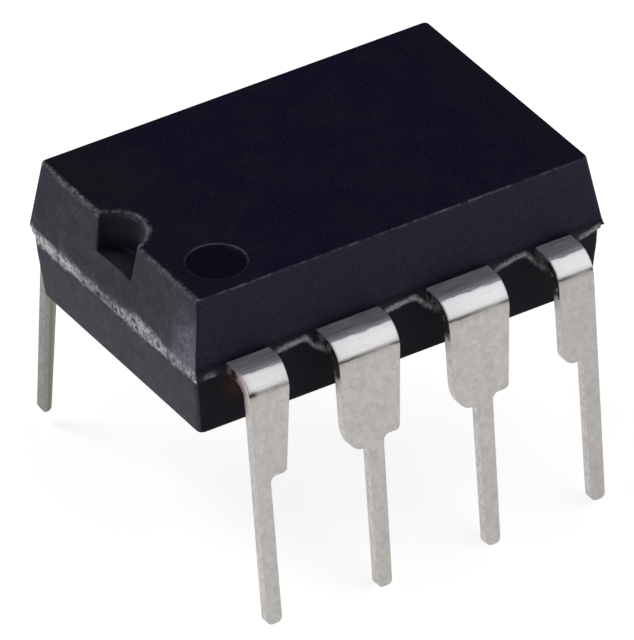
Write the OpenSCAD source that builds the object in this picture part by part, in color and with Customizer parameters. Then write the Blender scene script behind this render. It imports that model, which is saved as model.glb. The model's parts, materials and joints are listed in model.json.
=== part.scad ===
// Eight-lead dual in-line integrated circuit.
// Millimetres. The origin is the centre of the footprint on the board's top
// face: the plane where the wide shoulders of the leads stop, Z = 0.
// +X runs along the body from the notched end to the plain end, +Z is up.
// Leads 1 to 4 stand in the row at -Y, from the notched end; 5 to 8 come back
// along the row at +Y.

/* [Body] */
// Length of the moulding at its parting edge
body_l = 9.58; // [9.02:0.01:10.16]
// Width of the moulding at its parting edge
body_w = 6.36; // [6.1:0.01:7.0]
// Length of the flat top
top_l = 9.14; // [8.6:0.01:9.4]
// Width of the flat top
top_w = 6.02; // [5.7:0.01:6.2]
// Length of the underside
under_l = 9.26; // [8.6:0.01:9.4]
// Width of the underside
under_w = 6.02; // [5.7:0.01:6.2]
// Height of the body above the middle of the lead frame
body_up = 1.69; // [1.4:0.01:2.2]
// Depth of the body below the middle of the lead frame
body_down = 1.48; // [1.2:0.01:2.0]
// Radius of the four upright corners
corner_r = 0.06; // [0.04:0.01:0.2]
// Size of the small break along the top and bottom edges
edge_break = 0.05; // [0.02:0.01:0.08]
// Step between the flash band and the lower half
flash_step = 0.055; // [0.02:0.005:0.09]

/* [Index marks] */
// Radius of the end notch at the top
notch_r = 0.73; // [0.5:0.01:0.9]
// Radius of the end notch at its floor
notch_floor_r = 0.64; // [0.4:0.01:0.8]
// Depth of the end notch below the top
notch_depth = 0.84; // [0.4:0.01:1.1]
// Radius of the round recess beside lead 1
dot_r = 0.61; // [0.4:0.01:0.8]
// Depth of the round recess
dot_depth = 0.07; // [0.03:0.01:0.15]

/* [Leads] */
// Distance between neighbouring leads
pitch = 2.54; // [2.54:0.01:2.54]
// Thickness of the lead frame
sheet = 0.25; // [0.2:0.01:0.3]
// Height of the middle of the lead frame above the board
frame_z = 2.35; // [2.1:0.01:2.6]
// Width of the wide upper part of an inner lead
wide_w = 1.47; // [1.3:0.01:1.7]
// Width of the wide upper part of a corner lead
end_wide_w = 0.92; // [0.8:0.01:1.1]
// Width of the narrow pin under the shoulders
pin_w = 0.36; // [0.36:0.01:0.5]
// Width of the narrow pin at its tip
tip_w = 0.28; // [0.26:0.01:0.36]
// Outer radius of the bend
bend_r = 0.55; // [0.4:0.01:0.7]
// Distance from the middle of the body to the start of the bend
bend_y = 3.5; // [3.4:0.01:3.6]
// Lean of the leads in the row of leads 1 to 4, in degrees
lean_near = 3.4; // [0:0.1:8]
// Lean of the leads in the row of leads 5 to 8, in degrees
lean_far = 6.2; // [0:0.1:8]
// Reach of an inner lead below the board face
reach = 3.35; // [2.92:0.01:3.81]
// Reach of a corner lead below the board face
end_reach = 3.24; // [2.92:0.01:3.81]
// Reach of a corner lead in the row of leads 5 to 8
far_end_reach = 3.06; // [2.92:0.01:3.81]

/* [Inside] */
// Length of the die paddle
paddle_l = 3.8; // [3.0:0.1:4.0]
// Width of the die paddle
paddle_w = 2.5; // [2.0:0.1:2.6]
// How far the paddle is set below the lead frame
paddle_drop = 0.2; // [0.1:0.05:0.3]
// Length of the silicon die
die_l = 1.9; // [1.2:0.1:2.4]
// Width of the silicon die
die_w = 1.5; // [1.0:0.1:1.8]
// Thickness of the silicon die
die_h = 0.28; // [0.2:0.01:0.36]
// Thickness of the layer that holds the die
glue_h = 0.03; // [0.02:0.01:0.05]
// Diameter of a bond wire
wire_d = 0.03; // [0.025:0.001:0.04]

/* [Hidden] */
$fn = 48;

half = sheet / 2;
top_z = frame_z + body_up;
under_z = frame_z - body_down;
paddle_top = frame_z - paddle_drop + half;
die_top = paddle_top + glue_h + die_h;
frame_top = frame_z + half;

// the cylinder of the notch stands just outside the end edge of the top
notch_x = -top_l / 2 - 0.15;
// middle of the round recess
dot_x = -3.53;
dot_y = -2.02;
// width of the tie bars that hold the paddle to the frame
tie_w = 0.46;
// distance of each tie bar from the middle line
tie_y = 0.2;
// radius of the large round on one shoulder of a lead, and of the small one
round_big = [0.4, 0.4, 0.4, 0.28];
round_small = 0.1;
// height of the large round
round_tall = [0.65, 0.65, 0.65, 0.28];
// hollow round where a shoulder runs into the pin
fillet = 0.13;
// the second shoulder of a lead stops this far above the board
short_shoulder = 0.14;
// what the wide part loses in width on each side on its way down
taper_big = 0.02;
taper_small = [0.25, 0.17, 0.17, 0.17];
// the first shoulder of each lead stops this far above the board
rise = [0, 0, 0, 0.13];
// how far each lead stands off its pitch line
shift = [-0.08, 0.02, 0.05, 0.02];
// what the wide part of each lead is wider than usual
wider = [0.08, 0, 0, -0.08];
// round of the corners at the tip
tip_r = 0.12;

black = [0.07, 0.07, 0.09];
tin = [0.75, 0.73, 0.71];
copper = [0.72, 0.45, 0.32];
gold = [0.85, 0.66, 0.25];

// ---- outlines ----

// points along a quarter round: centre, radius, first angle, sweep
function arc(cx, cy, r, a, sweep, n = 6) =
    [for (i = [0:n]) [cx + r * cos(a + sweep * i / n),
                      cy + r * sin(a + sweep * i / n)]];

// rounded rectangle with half sizes hx and hy at height z
function ring(hx, hy, r, z, n = 6) =
    [for (k = [0:3], i = [0:n])
        let (a = 90 * k + 90 * i / n,
             sx = (k == 0 || k == 3) ? 1 : -1,
             sy = k < 2 ? 1 : -1)
        [sx * (hx - r) + r * cos(a), sy * (hy - r) + r * sin(a), z]];

// solid through a stack of rings with the same number of points
module loft(rings) {
    n = len(rings[0]);
    m = len(rings);
    polyhedron(
        points = [for (r = rings, p = r) p],
        faces = concat(
            [[for (i = [0:n - 1]) i]],
            [for (j = [0:m - 2], i = [0:n - 1])
                [j * n + i, (j + 1) * n + i,
                 (j + 1) * n + (i + 1) % n, j * n + (i + 1) % n]],
            [[for (i = [n - 1:-1:0]) (m - 1) * n + i]]));
}

// ---- moulded body ----

// outer form: underside, lower half, flash band, upper half, top
module body_form() {
    b = edge_break;
    loft([
        ring(under_l / 2 - b, under_w / 2 - b, corner_r, under_z),
        ring(under_l / 2, under_w / 2, corner_r, under_z + b),
        ring(body_l / 2 - flash_step, body_w / 2 - flash_step, corner_r,
             frame_z - half - 0.015),
        ring(body_l / 2, body_w / 2, corner_r, frame_z - half),
        ring(body_l / 2, body_w / 2, corner_r, frame_z + half + 0.02),
        ring(top_l / 2, top_w / 2, corner_r, top_z - b),
        ring(top_l / 2 - b, top_w / 2 - b, corner_r, top_z)
    ]);
}

// half-round notch in the end beside lead 1, narrower at its floor
module notch() {
    translate([notch_x, 0.04, top_z - notch_depth])
        cylinder(r1 = notch_floor_r,
                 r2 = notch_r + (notch_r - notch_floor_r) * 0.2 / notch_depth,
                 h = notch_depth + 0.2);
}

// shallow round recess that marks lead 1
module dot() {
    translate([dot_x, dot_y, top_z - dot_depth])
        cylinder(r = dot_r, h = 1);
}

module epoxy_body() {
    color(black) difference() {
        body_form();
        notch();
        dot();
        for (i = [1:8]) place(i) lead_plate(i);
        paddle_shape();
        glue_shape();
        die_shape();
        for (i = [1:8]) wire_shape(i);
    }
}

// ---- leads ----

// leads 5 to 8 are leads 1 to 4 turned half a turn about the origin
module place(i) {
    rotate([0, 0, i > 4 ? 180 : 0]) children();
}

// number of the same lead in the near row, and its place along X
function row_i(i) = i > 4 ? i - 4 : i;
function lead_x(i) = (row_i(i) - 2.5) * pitch;
function is_end(i) = row_i(i) == 1 || row_i(i) == 4;
function lean(i) = i > 4 ? lean_far : lean_near;
// pin centre, width of the wide part, and its left and right edge
function pin_x(i) = lead_x(i) + shift[row_i(i) - 1];
function width(i) = (is_end(i) ? end_wide_w : wide_w) + wider[row_i(i) - 1];
function left_x(i) = row_i(i) == 1 ? pin_x(i) - pin_w / 2
                   : row_i(i) == 4 ? pin_x(i) + pin_w / 2 - width(i)
                   : pin_x(i) - width(i) / 2;
function right_x(i) = left_x(i) + width(i);

// plan of the flat part, from the bend inward to the bonding finger
module lead_plan(i) {
    l = left_x(i);
    r = right_x(i);
    k = row_i(i);
    if (k == 2 || k == 3)
        difference() {
            polygon([[l, -bend_y], [r, -bend_y], [r, -2.75],
                     [lead_x(i) + 0.4, -2.35], [lead_x(i) + 0.4, -1.5],
                     [lead_x(i) - 0.4, -1.5], [lead_x(i) - 0.4, -2.35],
                     [l, -2.75]]);
            // hole that locks the finger in the moulding
            translate([lead_x(i), -2.6]) circle(r = 0.2);
        }
    else if (k == 1)
        polygon([[l, -bend_y], [r, -bend_y], [r, -2.0], [-2.2, -1.15],
                 [-2.2, -0.6], [-2.8, -0.6], [l, -1.6]]);
    else
        polygon([[l, -bend_y], [r, -bend_y], [r, -1.6], [2.8, -0.6],
                 [2.2, -0.6], [2.2, -1.15], [l, -2.0]]);
}

module lead_plate(i) {
    translate([0, 0, frame_z - half]) linear_extrude(sheet) lead_plan(i);
}

// outline of a blade below the bend: x along the row, y down the blade
module blade_outline(i) {
    k = row_i(i);
    a = lean(i);
    start_z = frame_z + half - bend_r + bend_r * sin(a);
    down = (start_z - rise[k - 1]) / cos(a);
    short = (start_z - short_shoulder) / cos(a);
    tip = (start_z + (!is_end(i) ? reach : i > 4 ? far_end_reach : end_reach))
        / cos(a);
    big = round_big[k - 1];
    tall = round_tall[k - 1];
    p = pin_x(i);
    w = pin_w / 2;
    t = tip_w / 2;
    l = left_x(i);
    r = right_x(i);
    // left side from the bend to the pin
    left = k == 1
        ? [[l, 0]]
        : concat([[l, 0]],
                 [for (q = arc(0, 0, 1, 180, -90))
                     [l + taper_big + big * (1 + q[0]),
                      down - tall * (1 - q[1])]],
                 arc(p - w - fillet, down + fillet, fillet, -90, 90));
    // right side from the pin back to the bend
    right = k == 4
        ? [[r, 0]]
        : concat(arc(p + w + fillet, short + fillet, fillet, 180, 90),
                 arc(r - taper_small[k - 1] - round_small,
                     short - round_small, round_small, 90, -90),
                 [[r, 0]]);
    polygon(concat(
        left,
        arc(p - t + tip_r, tip - tip_r, tip_r, 180, -90),
        arc(p + t - tip_r, tip - tip_r, tip_r, 90, -90),
        right));
}

// flat part, bend and blade as one strip of the same sheet
module lead(i) {
    a = lean(i);
    l = left_x(i);
    r = right_x(i);
    axis_z = frame_z + half - bend_r;
    color(tin) place(i) union() {
        lead_plate(i);
        // the bend turns about a line along X
        translate([l, -bend_y, axis_z])
            rotate([90, 0, 90])
                rotate([0, 0, 90])
                    rotate_extrude(angle = 90 - a)
                        translate([bend_r - sheet, 0])
                            square([sheet, r - l]);
        // the blade starts where the bend ends and leans outward
        translate([0, -bend_y, axis_z])
            rotate([-a, 0, 0])
                translate([0, -bend_r, 0])
                    rotate([-90, 0, 0])
                        linear_extrude(sheet) blade_outline(i);
    }
}

// ---- inside the moulding ----

// plate that carries the die, with a stepped tie bar to each end
module paddle_shape() {
    z = frame_z - paddle_drop;
    x0 = paddle_l / 2;
    x1 = x0 + 0.35;
    x2 = body_l / 2;
    union() {
        translate([-x0, -paddle_w / 2, z - half])
            cube([paddle_l, paddle_w, sheet]);
        for (m = [0, 1]) rotate([0, 0, 180 * m])
            rotate([90, 0, 0])
                translate([0, 0, tie_y - tie_w / 2])
                    linear_extrude(tie_w)
                        polygon([[x0 - 0.3, z - half], [x0, z - half],
                                 [x1, frame_z - half], [x2, frame_z - half],
                                 [x2, frame_z + half], [x1, frame_z + half],
                                 [x0, z + half], [x0 - 0.3, z + half]]);
    }
}

module glue_shape() {
    translate([-die_l / 2 - 0.1, -die_w / 2 - 0.1, paddle_top])
        cube([die_l + 0.2, die_w + 0.2, glue_h]);
}

module die_shape() {
    translate([-die_l / 2, -die_w / 2, paddle_top + glue_h])
        cube([die_l, die_w, die_h]);
}

module die_paddle() { color(copper) paddle_shape(); }
module die_attach() { color([0.6, 0.6, 0.62]) glue_shape(); }
module silicon_die() { color([0.3, 0.32, 0.38]) die_shape(); }

// pads on the die and landing points on the fingers, near row
pads = [[-0.75, -0.45], [-0.35, -0.6], [0.35, -0.6], [0.75, -0.45]];
lands = [[-2.4, -0.8], [-1.27, -1.7], [1.27, -1.7], [2.4, -0.8]];

// one ring of a wire: s along its plan line, z up, tilt of the ring, radius
wire_sides = 8;
module wire_shape(i) {
    k = row_i(i) - 1;
    p = pads[k];
    q = lands[k];
    run = norm(q - p);
    turn = atan2(q[1] - p[1], q[0] - p[0]);
    h = frame_top - die_top;
    w = wire_d / 2;
    // ball on the die, rise, long loop and landing on the finger
    path = [[0, 0, 0, 0.035], [0, 0.012, 0, 0.045], [0, 0.03, 0, 0.035],
            [0, 0.036, 0, w], [0, 0.14, 0, w], [0.02, 0.19, 25, w],
            [0.06, 0.22, 60, w], [0.12, 0.23, 90, w],
            [run * 0.4, 0.17, 100, w], [run * 0.7, 0.07 + h / 2, 115, w],
            [run * 0.9, h + 0.06, 125, w], [run, h, 180, 1.5 * w]];
    place(i) translate([p[0], p[1], die_top]) rotate([0, 0, turn])
        loft([for (c = path)
            [for (j = [0:wire_sides - 1])
                let (a = 360 * j / wire_sides)
                [c[0] + c[3] * cos(a) * cos(c[2]),
                 c[3] * sin(a),
                 c[1] - c[3] * cos(a) * sin(c[2])]]]);
}

module bond_wire(i) { color(gold) wire_shape(i); }

// ---- what is drawn ----

epoxy_body();
lead(1);  // lead_1
lead(2);  // lead_2
lead(3);  // lead_3
lead(4);  // lead_4
lead(5);  // lead_5
lead(6);  // lead_6
lead(7);  // lead_7
lead(8);  // lead_8
die_paddle();
die_attach();
silicon_die();
bond_wire(1);  // bond_wire_1
bond_wire(2);  // bond_wire_2
bond_wire(3);  // bond_wire_3
bond_wire(4);  // bond_wire_4
bond_wire(5);  // bond_wire_5
bond_wire(6);  // bond_wire_6
bond_wire(7);  // bond_wire_7
bond_wire(8);  // bond_wire_8
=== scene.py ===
import json
import math

import bmesh
import bpy
from mathutils import Matrix, Vector, noise
from mathutils.geometry import tessellate_polygon

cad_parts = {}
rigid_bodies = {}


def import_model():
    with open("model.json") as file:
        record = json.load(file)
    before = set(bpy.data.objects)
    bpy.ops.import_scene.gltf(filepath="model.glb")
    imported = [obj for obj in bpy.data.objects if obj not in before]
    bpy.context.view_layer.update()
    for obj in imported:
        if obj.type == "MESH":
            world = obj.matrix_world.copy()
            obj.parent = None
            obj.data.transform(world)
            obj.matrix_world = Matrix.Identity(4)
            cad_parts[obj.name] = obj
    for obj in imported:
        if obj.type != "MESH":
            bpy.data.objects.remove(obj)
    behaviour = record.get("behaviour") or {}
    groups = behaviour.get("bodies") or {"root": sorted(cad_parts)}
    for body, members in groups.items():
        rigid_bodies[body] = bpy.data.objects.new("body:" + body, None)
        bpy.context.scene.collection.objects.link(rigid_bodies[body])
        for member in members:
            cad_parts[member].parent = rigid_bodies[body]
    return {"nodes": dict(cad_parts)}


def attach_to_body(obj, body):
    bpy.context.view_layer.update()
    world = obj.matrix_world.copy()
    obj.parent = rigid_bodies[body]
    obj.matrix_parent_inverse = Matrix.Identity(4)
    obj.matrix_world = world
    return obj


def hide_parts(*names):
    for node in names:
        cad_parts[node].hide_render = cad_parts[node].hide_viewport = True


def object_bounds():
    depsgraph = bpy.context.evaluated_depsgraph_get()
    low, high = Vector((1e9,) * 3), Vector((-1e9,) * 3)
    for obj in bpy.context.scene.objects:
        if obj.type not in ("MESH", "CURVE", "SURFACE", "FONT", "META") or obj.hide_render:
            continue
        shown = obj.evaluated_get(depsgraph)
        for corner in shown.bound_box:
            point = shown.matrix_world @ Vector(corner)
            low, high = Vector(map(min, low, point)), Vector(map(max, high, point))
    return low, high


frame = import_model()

cad_lo, cad_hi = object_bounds()
MM = 0.001

# ---------------------------------------------------------------- sizes, mm
FRAME_Z = 2.35
SHEET = 0.25
TOP_Z = 4.04
UNDER_Z = 0.87
PITCH = 2.54
WIDE_W, END_WIDE_W, PIN_W, TIP_W = 1.47, 0.92, 0.36, 0.33
# leads 1 to 4: off the pitch line, wider than usual, height of the first shoulder
SHIFT = (-0.08, 0.02, 0.05, 0.02)
WIDER = (0.08, 0, 0, -0.08)
RISE = (0, 0, 0, 0.13)
BEND_R, BEND_Y = 0.55, 3.5
LEAN = {"near": 3.4, "far": 6.2}
REACH, END_REACH, FAR_END_REACH = 3.35, 3.24, 3.06
SHORT_SHOULDER = 0.14
ROUND_BIG, ROUND_TALL = (0.40, 0.40, 0.40, 0.28), (0.65, 0.65, 0.65, 0.28)
ROUND_SMALL, FILLET = 0.10, 0.13
TAPER_BIG, TAPER_SMALL, TIP_R = 0.02, (0.25, 0.17, 0.17, 0.17), 0.12
NOTCH_X, NOTCH_Y, NOTCH_R, NOTCH_FLOOR_R, NOTCH_DEPTH = -4.72, 0.04, 0.73, 0.64, 0.84
DOT_X, DOT_Y, DOT_R, DOT_DEPTH = -3.53, -2.02, 0.61, 0.07
TIE_Y = 0.2


def smooth(a, b, x):
    t = max(0.0, min(1.0, (x - a) / (b - a)))
    return t * t * (3 - 2 * t)


def bump(c, w, x):
    """1 at c, 0 from c - w and c + w on"""
    return 1 - smooth(0, w, abs(x - c))


def fbm(x, y, z, octaves=3):
    total, size, weight = 0.0, 1.0, 1.0
    for _ in range(octaves):
        total += weight * noise.noise(Vector((x * size, y * size, z * size)))
        size *= 2.07
        weight *= 0.55
    return total


# ------------------------------------------------------------ node helpers
class Look:
    """A Principled material whose sockets are driven by small formulas."""

    def __init__(self, name):
        self.mat = bpy.data.materials.new(name)
        self.mat.use_nodes = True
        self.tree = self.mat.node_tree
        self.tree.nodes.clear()
        self.out = self.tree.nodes.new("ShaderNodeOutputMaterial")
        self.bsdf = self.tree.nodes.new("ShaderNodeBsdfPrincipled")
        self.tree.links.new(self.bsdf.outputs["BSDF"], self.out.inputs["Surface"])
        self.coord = self.tree.nodes.new("ShaderNodeTexCoord")
        scale = self.tree.nodes.new("ShaderNodeVectorMath")
        scale.operation = "MULTIPLY"
        scale.inputs[1].default_value = (1000, 1000, 1000)
        self.tree.links.new(self.coord.outputs["Object"], scale.inputs[0])
        self.p = scale.outputs[0]
        split = self.tree.nodes.new("ShaderNodeSeparateXYZ")
        self.tree.links.new(self.p, split.inputs[0])
        self.x, self.y, self.z = split.outputs
        turn = self.tree.nodes.new("ShaderNodeSeparateXYZ")
        self.tree.links.new(self.coord.outputs["Normal"], turn.inputs[0])
        self.nx, self.ny, self.nz = turn.outputs

    def put(self, socket, value):
        if isinstance(value, bpy.types.NodeSocket):
            self.tree.links.new(value, socket)
        elif isinstance(value, tuple) and len(value) == 3 and socket.type == "RGBA":
            socket.default_value = (*value, 1)
        else:
            socket.default_value = value

    def set(self, **inputs):
        for name, value in inputs.items():
            self.put(self.bsdf.inputs[name.replace("_", " ")], value)

    def m(self, op, a, b=0.0, c=0.0, clamp=False):
        n = self.tree.nodes.new("ShaderNodeMath")
        n.operation, n.use_clamp = op, clamp
        for s, v in zip(n.inputs, (a, b, c)):
            self.put(s, v)
        return n.outputs[0]

    def add(self, a, b, clamp=False):
        return self.m("ADD", a, b, clamp=clamp)

    def sub(self, a, b):
        return self.m("SUBTRACT", a, b)

    def mul(self, a, b):
        return self.m("MULTIPLY", a, b)

    def step(self, v, a, b, c=0.0, d=1.0, kind="SMOOTHSTEP"):
        n = self.tree.nodes.new("ShaderNodeMapRange")
        n.interpolation_type = kind
        n.clamp = True
        for s, w in zip(("Value", "From Min", "From Max", "To Min", "To Max"), (v, a, b, c, d)):
            self.put(n.inputs[s], w)
        return n.outputs[0]

    def hump(self, v, centre, width):
        """1 where v is centre, 0 outside centre +- width"""
        return self.step(self.m("ABSOLUTE", self.sub(v, centre)), 0.0, width, 1.0, 0.0)

    def stretch(self, vector, sx, sy, sz, shift=(0, 0, 0)):
        n = self.tree.nodes.new("ShaderNodeMapping")
        self.put(n.inputs["Vector"], vector)
        n.inputs["Scale"].default_value = (sx, sy, sz)
        n.inputs["Location"].default_value = shift
        return n.outputs[0]

    def noise(self, vector, scale, detail=2.0, rough=0.5, warp=0.0):
        n = self.tree.nodes.new("ShaderNodeTexNoise")
        self.put(n.inputs["Vector"], vector)
        n.inputs["Scale"].default_value = scale
        n.inputs["Detail"].default_value = detail
        n.inputs["Roughness"].default_value = rough
        n.inputs["Distortion"].default_value = warp
        return n.outputs["Fac"]

    def cells(self, vector, scale):
        n = self.tree.nodes.new("ShaderNodeTexVoronoi")
        self.put(n.inputs["Vector"], vector)
        n.inputs["Scale"].default_value = scale
        return n.outputs["Distance"]

    def mix(self, factor, a, b):
        n = self.tree.nodes.new("ShaderNodeMix")
        n.data_type = "RGBA"
        n.clamp_factor = True
        self.put(n.inputs[0], factor)
        self.put(n.inputs[6], a)
        self.put(n.inputs[7], b)
        return n.outputs[2]

    def blend(self, factor, a, b):
        n = self.tree.nodes.new("ShaderNodeMix")
        n.data_type = "FLOAT"
        n.clamp_factor = True
        self.put(n.inputs[0], factor)
        self.put(n.inputs[2], a)
        self.put(n.inputs[3], b)
        return n.outputs[0]

    def relief(self, height, depth_mm, strength=1.0):
        n = self.tree.nodes.new("ShaderNodeBump")
        n.inputs["Strength"].default_value = strength
        n.inputs["Distance"].default_value = depth_mm * MM
        self.put(n.inputs["Height"], height)
        self.put(self.bsdf.inputs["Normal"], n.outputs[0])

    def attribute(self, name):
        n = self.tree.nodes.new("ShaderNodeAttribute")
        n.attribute_type = "GEOMETRY"
        n.attribute_name = name
        s = self.tree.nodes.new("ShaderNodeSeparateColor")
        self.tree.links.new(n.outputs["Color"], s.inputs[0])
        return (*s.outputs, n.outputs["Alpha"])

    def uv(self, name):
        n = self.tree.nodes.new("ShaderNodeUVMap")
        n.uv_map = name
        s = self.tree.nodes.new("ShaderNodeSeparateXYZ")
        self.tree.links.new(n.outputs[0], s.inputs[0])
        return n.outputs[0], s.outputs[0], s.outputs[1]


# ---------------------------------------------------------------- materials
def epoxy_look():
    k = Look("moulded_epoxy")
    wear, band, haze, still_and_shade = k.attribute("marks")
    low, worn, pit_shade, _ = k.attribute("flash")
    fine = k.noise(k.p, 24, 2, 0.65)
    grain = k.noise(k.p, 15, 3, 0.65)
    cloud = k.noise(k.p, 1.6, 3, 0.55)
    mottle = k.noise(k.p, 10.5, 3, 0.65)
    patches = k.noise(k.p, 2.3, 2, 0.5)
    # near black with a blue cast and a visible grain
    speck = k.step(fine, 0.40, 0.60)
    base = k.mix(speck, (0.0018, 0.0015, 0.0105), (0.0104, 0.0094, 0.0290))
    base = k.mix(k.mul(k.step(cloud, 0.40, 0.75), 0.45), base, (0.0125, 0.0125, 0.0230))
    # the top is a little dustier towards the notched end
    pale = k.mul(k.mul(k.step(k.x, -2.0, -4.6), k.step(k.y, -2.2, 0.6)), k.step(k.nz, 0.9, 0.98))
    base = k.mix(k.mul(pale, k.step(cloud, 0.30, 0.70, 0.35, 0.95)), base, (0.0120, 0.0120, 0.0170))
    dry = k.mul(k.step(k.m("ABSOLUTE", k.x), 3.1, 4.5), k.step(k.nz, 0.9, 0.98))
    base = k.mix(k.mul(dry, k.step(cloud, 0.30, 0.70, 0.25, 0.65)), base, (0.0105, 0.0088, 0.0125))
    # painted light and shade: the long sides are painted lighter above the parting line and darker below it
    flank = k.step(k.m("ABSOLUTE", k.ny), 0.6, 0.8)
    above = k.step(k.z, 2.20, 2.30)
    base = k.mix(k.mul(k.mul(flank, above), 0.9), base, k.mix(speck, (0.0108, 0.0092, 0.0230), (0.0226, 0.0192, 0.0420)))
    base = k.mix(k.mul(k.mul(flank, k.sub(1.0, above)), 0.75), base, k.mix(speck, (0.0004, 0.0002, 0.0012), (0.0030, 0.0020, 0.0052)))
    # painted shade: a darker grainy strip along the parting line on the long sides
    crease_shade = k.mul(k.mul(flank, k.hump(k.z, 2.50, 0.17)), k.step(grain, 0.30, 0.70, 0.55, 0.90))
    base = k.mix(crease_shade, base, (0.0020, 0.0014, 0.0040))
    # a smooth, darker finish in the dimple; in the notch the darker colour is painted shade
    base = k.mix(k.mul(still_and_shade, 0.8), base, (0.0036, 0.0034, 0.0110))
    # a brown patch on the side beside the first lead
    brown = k.mul(k.mul(k.hump(k.x, -3.80, 0.50), k.hump(k.z, 1.92, 0.62)), k.step(k.ny, -0.6, -0.8))
    base = k.mix(k.mul(brown, k.step(grain, 0.3, 0.7, 0.55, 1.0)), base, (0.0560, 0.0160, 0.0030))
    # painted light: the ends are painted lighter in grainy patches, with a faint brown stain low down
    lit_ends = k.mul(k.mul(haze, k.step(grain, 0.34, 0.66, 0.55, 1.12)), k.mul(k.step(cloud, 0.34, 0.66, 0.86, 1.12), k.step(k.noise(k.p, 3.4, 3, 0.6), 0.34, 0.66, 0.82, 1.16)))
    stain = k.mul(k.hump(k.y, 2.3, 0.7), k.hump(k.z, 1.2, 0.45))
    end_light_and_stain = k.mix(k.mul(stain, 0.6), (0.088, 0.083, 0.099), (0.096, 0.075, 0.078))
    end_light_and_stain = k.mix(k.step(haze, 0.45, 1.0), end_light_and_stain, (0.150, 0.143, 0.180))
    base = k.mix(lit_ends, base, end_light_and_stain)
    # broken light line where edges are worn
    torn = k.step(k.noise(k.p, 5.5, 3, 0.6), 0.36, 0.60, 0.15, 1.0)
    line = k.mul(k.mul(wear, torn), k.step(k.noise(k.p, 1.9, 3, 0.60), 0.38, 0.60, 0.28, 1.08))
    base = k.mix(line, base, (0.120, 0.115, 0.128))
    # the worn rim spreads a little over the top: along the notched end and round the notch, where it is also a painted
    # highlight, brightest on the side of lead 1
    high = k.step(k.z, 3.985, 4.030)
    end_rim = k.mul(k.hump(k.x, -4.545, 0.075), k.step(k.y, 0.3, 1.0, 0.45, 1.0))
    dx, dy = k.add(k.x, -NOTCH_X), k.add(k.y, -NOTCH_Y)
    reach = k.m("SQRT", k.add(k.mul(dx, dx), k.mul(dy, dy)))
    arc_rim = k.mul(k.hump(reach, NOTCH_R + 0.035, 0.085), k.step(dy, 0.60, -0.10, 0.40, 1.0))
    speckle = k.step(k.noise(k.p, 13, 3, 0.65), 0.38, 0.62)
    rim = k.mul(k.mul(k.m("MAXIMUM", end_rim, k.mul(arc_rim, k.step(k.x, -4.62, -4.56))), high), k.mul(k.step(speckle, 0.0, 1.0, 0.25, 1.0), torn))
    # and over the end face just below its top edge
    chafed = k.mul(k.mul(k.hump(k.z, 3.975, 0.100), k.step(k.nx, -0.6, -0.8)), k.step(k.y, 0.5, 0.85, 0.35, 1.0))
    chafed = k.mul(k.mul(chafed, k.step(k.y, 2.7, 2.1)), k.mul(speckle, k.step(patches, 0.35, 0.6, 0.4, 1.0)))
    rim = k.m("MAXIMUM", rim, k.mul(chafed, 0.70))
    base = k.mix(k.mul(rim, 0.9), base, (0.250, 0.242, 0.256))
    # a soft ring round the recess by the first lead: worn, and painted brighter on its far side as a highlight
    ex, ey = k.add(k.x, -DOT_X), k.add(k.y, -DOT_Y)
    off = k.m("SQRT", k.add(k.mul(ex, ex), k.mul(ey, ey)))
    turned = k.step(k.add(k.mul(ex, 0.75), k.mul(ey, 0.66)), -0.35, 0.55, 0.38, 1.0)
    ring = k.mul(k.mul(k.hump(off, DOT_R + 0.010, 0.046), k.step(k.z, 4.010, 4.030)), k.mul(turned, k.step(k.noise(k.p, 2.6, 3, 0.6), 0.36, 0.62, 0.30, 1.0)))
    base = k.mix(k.mul(ring, 0.70), base, (0.105, 0.100, 0.118))
    lip = k.mul(k.mul(k.hump(k.z, 3.205, 0.035), k.step(k.x, -4.640, -4.668)), k.hump(k.y, 0.04, 0.80))
    base = k.mix(k.mul(lip, 0.7), base, (0.110, 0.106, 0.118))
    # lumpy lip of flash between the leads
    d = k.sub(k.z, k.add(low, FRAME_Z))
    lump = k.noise(k.p, 8, 3, 0.6)
    ragged = k.add(d, k.mul(k.sub(lump, 0.5), 0.09))
    clump = k.step(k.noise(k.p, 4.2, 3, 0.6), 0.34, 0.56, 0.40, 1.0)
    flash = k.mul(k.mul(k.hump(ragged, 0.040, 0.130), worn), k.mul(clump, k.step(grain, 0.30, 0.55, 0.5, 1.0)))
    flash = k.mul(flash, k.step(speckle, 0.0, 1.0, 0.75, 1.5))
    base = k.mix(k.m("MINIMUM", k.mul(flash, 1.4), 1.0), base, (0.290, 0.278, 0.296))
    # rough strip left by the mould's parting line
    frayed = k.add(k.z, k.mul(k.sub(k.noise(k.p, 3.0, 5, 0.66), 0.5), 0.34))
    # it is widest between the middle and the near corner
    ceiling = k.add(2.42, k.mul(k.hump(k.y, -1.15, 1.25), 0.15))
    ceiling = k.add(ceiling, k.mul(k.step(k.y, 1.3, 2.4), 0.05))
    base_line = k.sub(k.sub(2.16, k.mul(k.step(k.y, 1.2, 2.4), 0.05)), k.mul(k.hump(k.y, -1.0, 1.3), 0.02))
    lower_half = k.step(frayed, k.sub(base_line, 0.07), k.add(base_line, 0.09))
    upper_half = k.step(frayed, k.add(ceiling, 0.13), k.sub(ceiling, 0.11))
    profile = k.mul(lower_half, upper_half)
    rag = k.step(k.add(k.mul(mottle, 0.45), k.mul(k.noise(k.p, 5.0, 4, 0.68), 0.55)), 0.42, 0.58)
    crumbs = k.step(k.noise(k.p, 15, 3, 0.65), 0.34, 0.64, 0.62, 1.12)
    strip = k.mul(k.mul(band, profile), k.step(k.add(k.mul(rag, 0.80), k.mul(patches, 0.5)), 0.15, 0.92, 0.20, 1.0))
    base = k.mix(k.m("MINIMUM", k.mul(strip, crumbs), 1.0), base, (0.560, 0.548, 0.566))
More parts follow.
